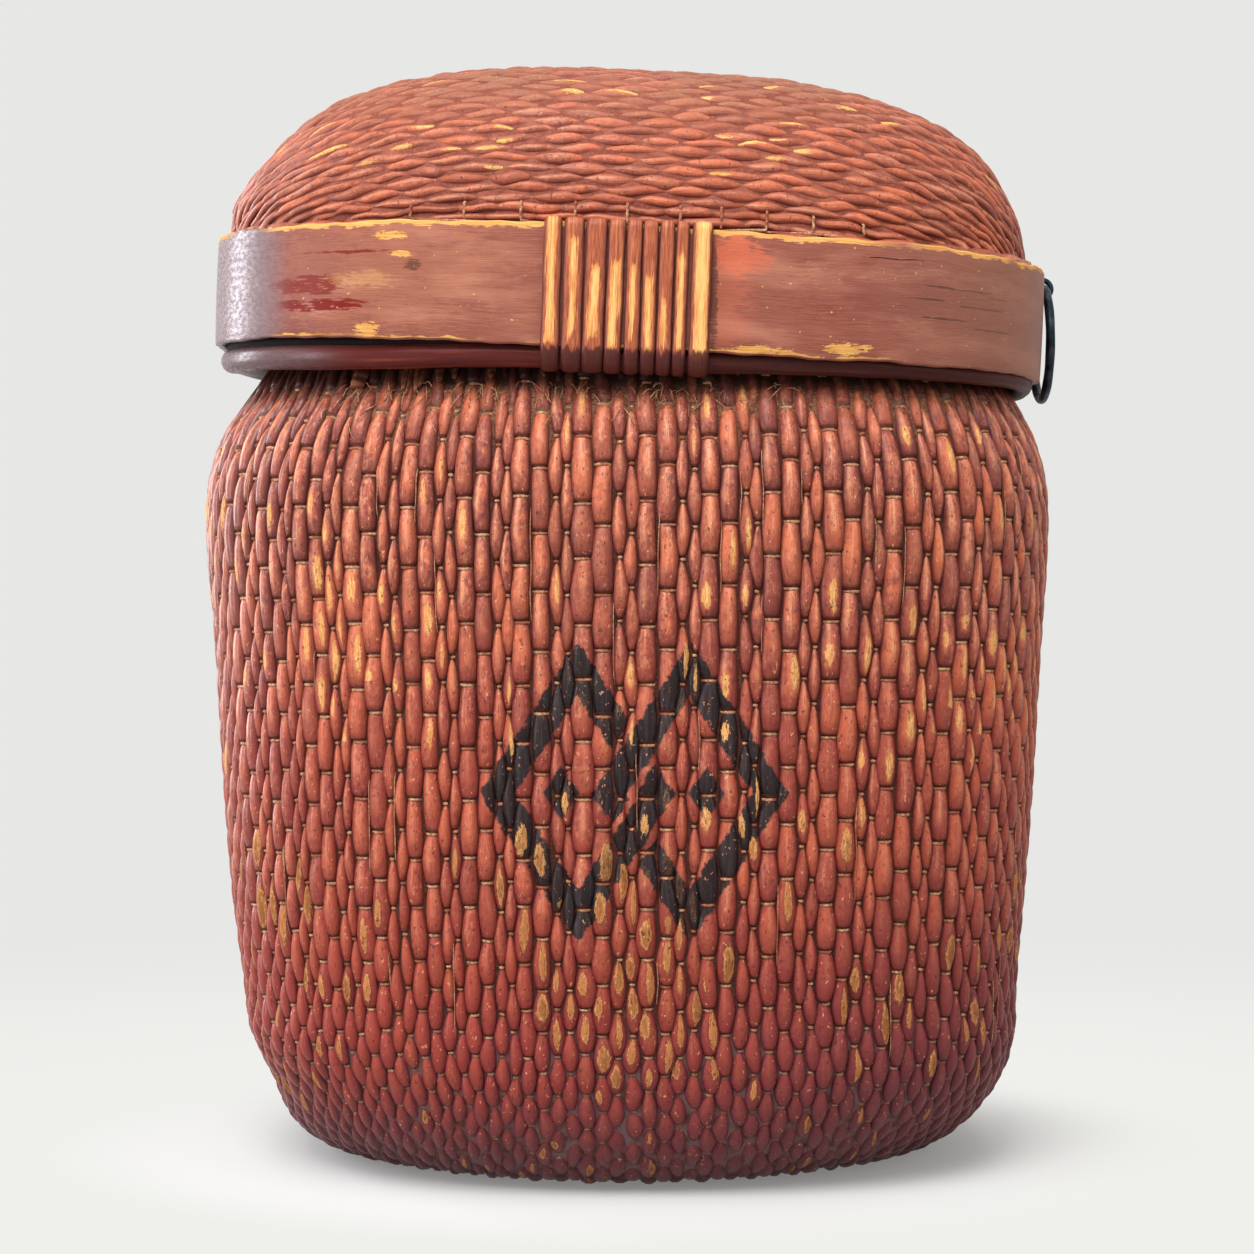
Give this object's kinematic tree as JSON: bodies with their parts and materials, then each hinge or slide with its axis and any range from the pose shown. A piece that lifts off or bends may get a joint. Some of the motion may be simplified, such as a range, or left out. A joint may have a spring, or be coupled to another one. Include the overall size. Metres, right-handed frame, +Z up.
{
  "type": "lidded willow basket",
  "caption": "Tall bag-shaped willow storage basket with a rounded oblong plan and a domed lift-off lid set in a bentwood band with a ring at one end.",
  "frame": {"origin": "middle of the flat base that the basket stands on", "axes": "+Z up, +X along the width towards the end with the ring, -Y towards the front with the binding"},
  "size_m": [0.4206, 0.3036, 0.5421],
  "materials": {
    "lacquered_willow": "worn red lacquer",
    "hemp_cord": "twisted hemp",
    "plain_bentwood": "bare, aged",
    "plain_rod": "bare, aged",
    "split_cane": "bare, aged",
    "lacquered_bentwood": "worn brown-red lacquer",
    "lacquered_rod": "dark glossy lacquer",
    "worn_willow_splits": "lacquer worn through to the wood",
    "forged_iron": "dark forged iron"
  },
  "bodies": {
    "basket": {"body_weave": "lacquered_willow", "body_cords": "hemp_cord", "mouth_outer_hoop": "plain_bentwood", "mouth_inner_hoop": "plain_bentwood", "mouth_cap_rod": "plain_rod", "mouth_lashings": "split_cane"},
    "lid": {"lid_weave": "lacquered_willow", "lid_cords": "hemp_cord", "lid_band": "lacquered_bentwood", "lid_inner_hoop": "plain_bentwood", "lid_rim_rod": "lacquered_rod", "lid_binding": "worn_willow_splits", "ring_staple": "forged_iron"},
    "ring": {"side_ring": "forged_iron"}
  },
  "joints": [
    {"name": "lid_lift", "type": "slide", "parent": "basket", "child": "lid", "axis": [0, 0, 1], "range_m": [0, 0.16]},
    {"name": "ring_swing", "type": "hinge", "parent": "lid", "child": "ring", "pos_m": [0.20804, 0, 0.43231], "axis": [0, -1, 0], "range_deg": [0, 170]}
  ]
}
